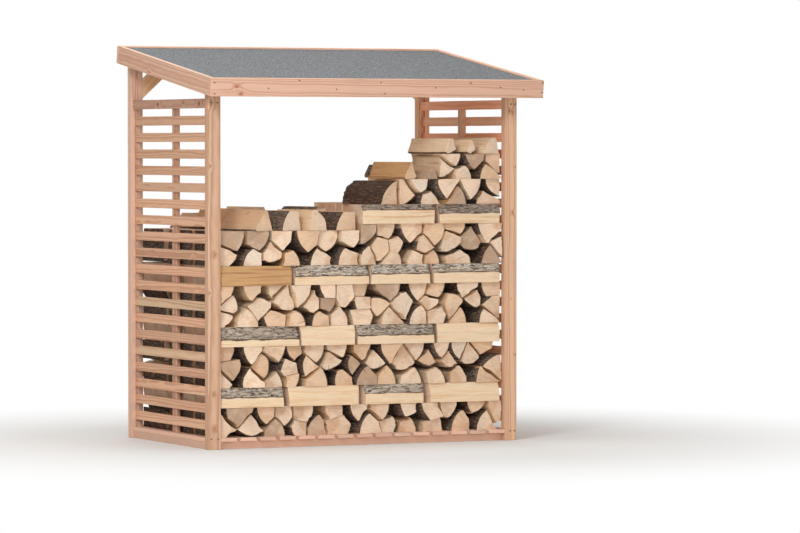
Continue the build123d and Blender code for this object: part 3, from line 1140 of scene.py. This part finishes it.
@dataclass
class Heads:
    """Screw or nail heads with a dished top, about 1 mm proud of the timber."""

    name: str
    finish: Finish
    radius: float
    places: list[tuple[Vector, Vector]] = field(default_factory=list)
    rim_height: float = 0.0008
    dish_depth: float = 0.0012
    rim_share: float = 0.42

    def build(self) -> Object:
        """Makes all heads as one piece.

        Returns:
            The piece.
        """
        mesh = bmesh.new()
        for place, facing in self.places:
            turn = facing.to_track_quat("Z", "Y").to_matrix().to_4x4()
            made = bmesh.ops.create_circle(
                mesh, cap_ends=True, radius=self.radius, segments=12,
                matrix=Matrix.Translation(place) @ turn,
            )
            top = next(iter({f for v in made["verts"] for f in v.link_faces}))
            body = bmesh.ops.extrude_face_region(mesh, geom=[top])
            moved = [g for g in body["geom"] if isinstance(g, BMVert)]
            bmesh.ops.translate(mesh, verts=moved, vec=facing * self.rim_height)
            cap = next(g for g in body["geom"] if isinstance(g, BMFace))
            rim = self.radius * self.rim_share
            bmesh.ops.inset_region(mesh, faces=[cap], thickness=rim, depth=0.0)
            bmesh.ops.translate(mesh, verts=cap.verts[:], vec=facing * -self.dish_depth)
        bmesh.ops.recalc_face_normals(mesh, faces=mesh.faces)
        piece = mesh_object(mesh, self.name, [self.finish.material()])
        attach(piece, "root")
        log.info("%s: %d heads", self.name, len(self.places))
        return piece


@dataclass
class Studio:
    """Camera, floor and lamps."""

    lens: float = 193.8
    camera_place: tuple[float, float, float] = (-9.472, -20.735, 1.555)
    yaw: float = 25.5
    pitch: float = 1.6
    sky: float = 0.5

    def build(self) -> None:
        """Puts the camera, the floor, the lamps and the sky in place."""
        self._camera()
        self._floor()
        self._lamps()
        self._sky()

    def _camera(self) -> None:
        """The camera, from where the photograph was taken."""
        data = bpy.data.cameras.new("camera")
        data.lens = self.lens
        data.sensor_width = 36.0
        data.clip_start = 0.5
        data.clip_end = 400.0
        camera = put_in_scene("camera", data)
        camera.location = self.camera_place
        camera.rotation_euler = Euler((radians(90 - self.pitch), 0, radians(-self.yaw)))
        bpy.context.scene.camera = camera

    def _floor(self) -> None:
        """A wide pale floor that fades into the white around it."""
        graph = Graph("studio_floor")
        x, y, _ = graph.split(graph.place())
        away = graph.math("SQRT", x * x + y * y)
        seen = graph.add("LightPath", {}, "Is Camera Ray")
        fade = graph.ramp(away, 1.4, 3.4) * seen
        matt = graph.add("BsdfDiffuse", {"Color": (0.8, 0.8, 0.79)})
        white = graph.add("Emission", {"Color": (1.0, 1.0, 1.0), "Strength": 1.0})
        both = graph.add("MixShader", {0: fade, 1: matt, 2: white})
        graph.add("OutputMaterial", {"Surface": both})
        mesh = bmesh.new()
        bmesh.ops.create_grid(mesh, x_segments=2, y_segments=2, size=150.0)
        floor = mesh_object(mesh, "floor", [graph.material])

    def _lamps(self) -> None:
        """A soft key lamp from the front left, a low fill, and lamps above and behind."""
        for name, place, size, power in (
            ("key", (-4.8, -5.4, 4.6), 2.0, 215.0),
            ("fill", (-3.0, -7.5, 1.6), 2.5, 120.0),
            ("top", (-0.5, -0.8, 6.0), 2.5, 100.0),
            ("back", (1.0, 6.0, 4.0), 4.0, 110.0),
        ):
            data = bpy.data.lights.new(name, "AREA")
            data.shape = "DISK"
            data.size = size
            data.energy = power
            lamp = put_in_scene(name, data)
            lamp.location = place
            aim = Vector((0, 0, 0.9)) - Vector(place)
            lamp.rotation_euler = aim.to_track_quat("-Z", "Y").to_euler()

    def _sky(self) -> None:
        """Even light from all round, and white where the camera looks past the object."""
        world = bpy.data.worlds.new("studio_sky")
        bpy.context.scene.world = world
        graph = Graph("studio_sky", world)
        camera = graph.add("LightPath", {}, "Is Camera Ray")
        glossy = graph.add("LightPath", {}, "Is Glossy Ray")
        seen = graph.math("MAXIMUM", camera, glossy)
        plain = {"Color": (1.0, 0.985, 0.96), "Strength": self.sky}
        dim = graph.add("Background", plain)
        white = graph.add("Background", {"Color": (1.0, 1.0, 1.0), "Strength": 1.0})
        both = graph.add("MixShader", {0: seen, 1: dim, 2: white})
        graph.add("OutputWorld", {"Surface": both})


@dataclass
class LogStore:
    """The whole store, piece by piece."""

    post_arris: float = 0.0025

    def build(self) -> None:
        """Builds every piece in order."""
        self._timber()
        self._roof()
        self._firewood()
        self._fixings()

    def _timber(self) -> None:
        """Posts, rails, slats, battens, bearers and floor boards."""
        for index, node in enumerate(sorted(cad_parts)):
            finish = next((TIMBERS[start] for start in TIMBERS if node.startswith(start)), None)
            if finish is not None:
                boards = Boards(node, finish, "timber", 10 + index, tone=TONES_AND_PAINTED_LIGHT.get(node))
                if node.startswith("post"):
                    boards.arris = self.post_arris
                if node in KNOTS:
                    boards.look = self._knotty(node, finish)
                boards.build()

    @staticmethod
    def _knotty(node: str, finish: Finish) -> Timber:
        """The timber of a post or rail with knots in places of their own.

        Args:
            node: the node, which is in the table of knots.
            finish: the timber that it is made of.

        Returns:
            The timber with those knots.
        """
        knot, depth = (srgb(160, 106, 74), 0.6)
        if "rail" in node:
            knot, depth = (srgb(112, 72, 56), 1.0)
        name = f"{node}_timber"
        return replace(finish.value, name=name, knot=knot, knot_depth=depth, knots=KNOTS[node])

    def _roof(self) -> None:
        """Fascias and felt."""
        nodes = [node for node in sorted(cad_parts) if node.startswith("fascia")]
        for index, node in enumerate(nodes):
            look = Timber(
                f"{node}_timber", srgb(222, 180, 155), srgb(196, 142, 114), srgb(232, 202, 178),
                knot=srgb(178, 112, 80), knots=KNOTS.get(node, ()), contrast=0.75, greyness=0.2,
            )
            tone = TONES_AND_PAINTED_LIGHT.get(node)
            Boards(node, Finish.POST, "fascia_timber", 70 + index, look=look, tone=tone).build()
        FeltSheet("roof_felt", Finish.FELT, "felt", 3).build()

    def _firewood(self) -> None:
        """All the split logs, each node with its own settings."""
        for index, node in enumerate(sorted(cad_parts)):
            if "log" in node or node.startswith("heap_"):
                settings: dict[str, Any] = {}
                for part, chosen in LOG_SETTINGS.items():
                    if part in node:
                        settings |= chosen
                SplitLogs(node, Finish.END, "firewood", 200 + index, **settings).build()

    def _fixings(self) -> None:
        """Screws in the posts and nails in the fascias."""
        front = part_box("fascia_front")
        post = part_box("post_front_left")
        screws = Heads("screws", Finish.SCREW, 0.0042)
        nails = Heads("nails", Finish.NAIL, 0.0036)
        face = Vector((0, -1, 0))
        for x, z in SCREW_PLACES:
            screws.places.append((Vector((x, post[0].y - HEAD_OFFSET, z)), face))
        slope = Vector((0, cos(ROOF_PITCH), sin(ROOF_PITCH)))
        upright = Vector((0, -sin(ROOF_PITCH), cos(ROOF_PITCH)))
        foot = Vector((0, front[0].y + FASCIA_HEIGHT * sin(ROOF_PITCH), front[0].z))
        for x, up in NAIL_PLACES:
            place = foot + upright * up + Vector((x, 0, 0)) - slope * HEAD_OFFSET
            nails.places.append((place, -slope))
        screws.build()
        nails.build()


def main() -> None:
    """Builds the store and its studio."""
    logging.basicConfig(level=logging.INFO, format="%(message)s")
    bpy.context.scene.view_settings.view_transform = "Standard"
    LogStore().build()
    Studio().build()


if __name__ == "__main__":
    main()
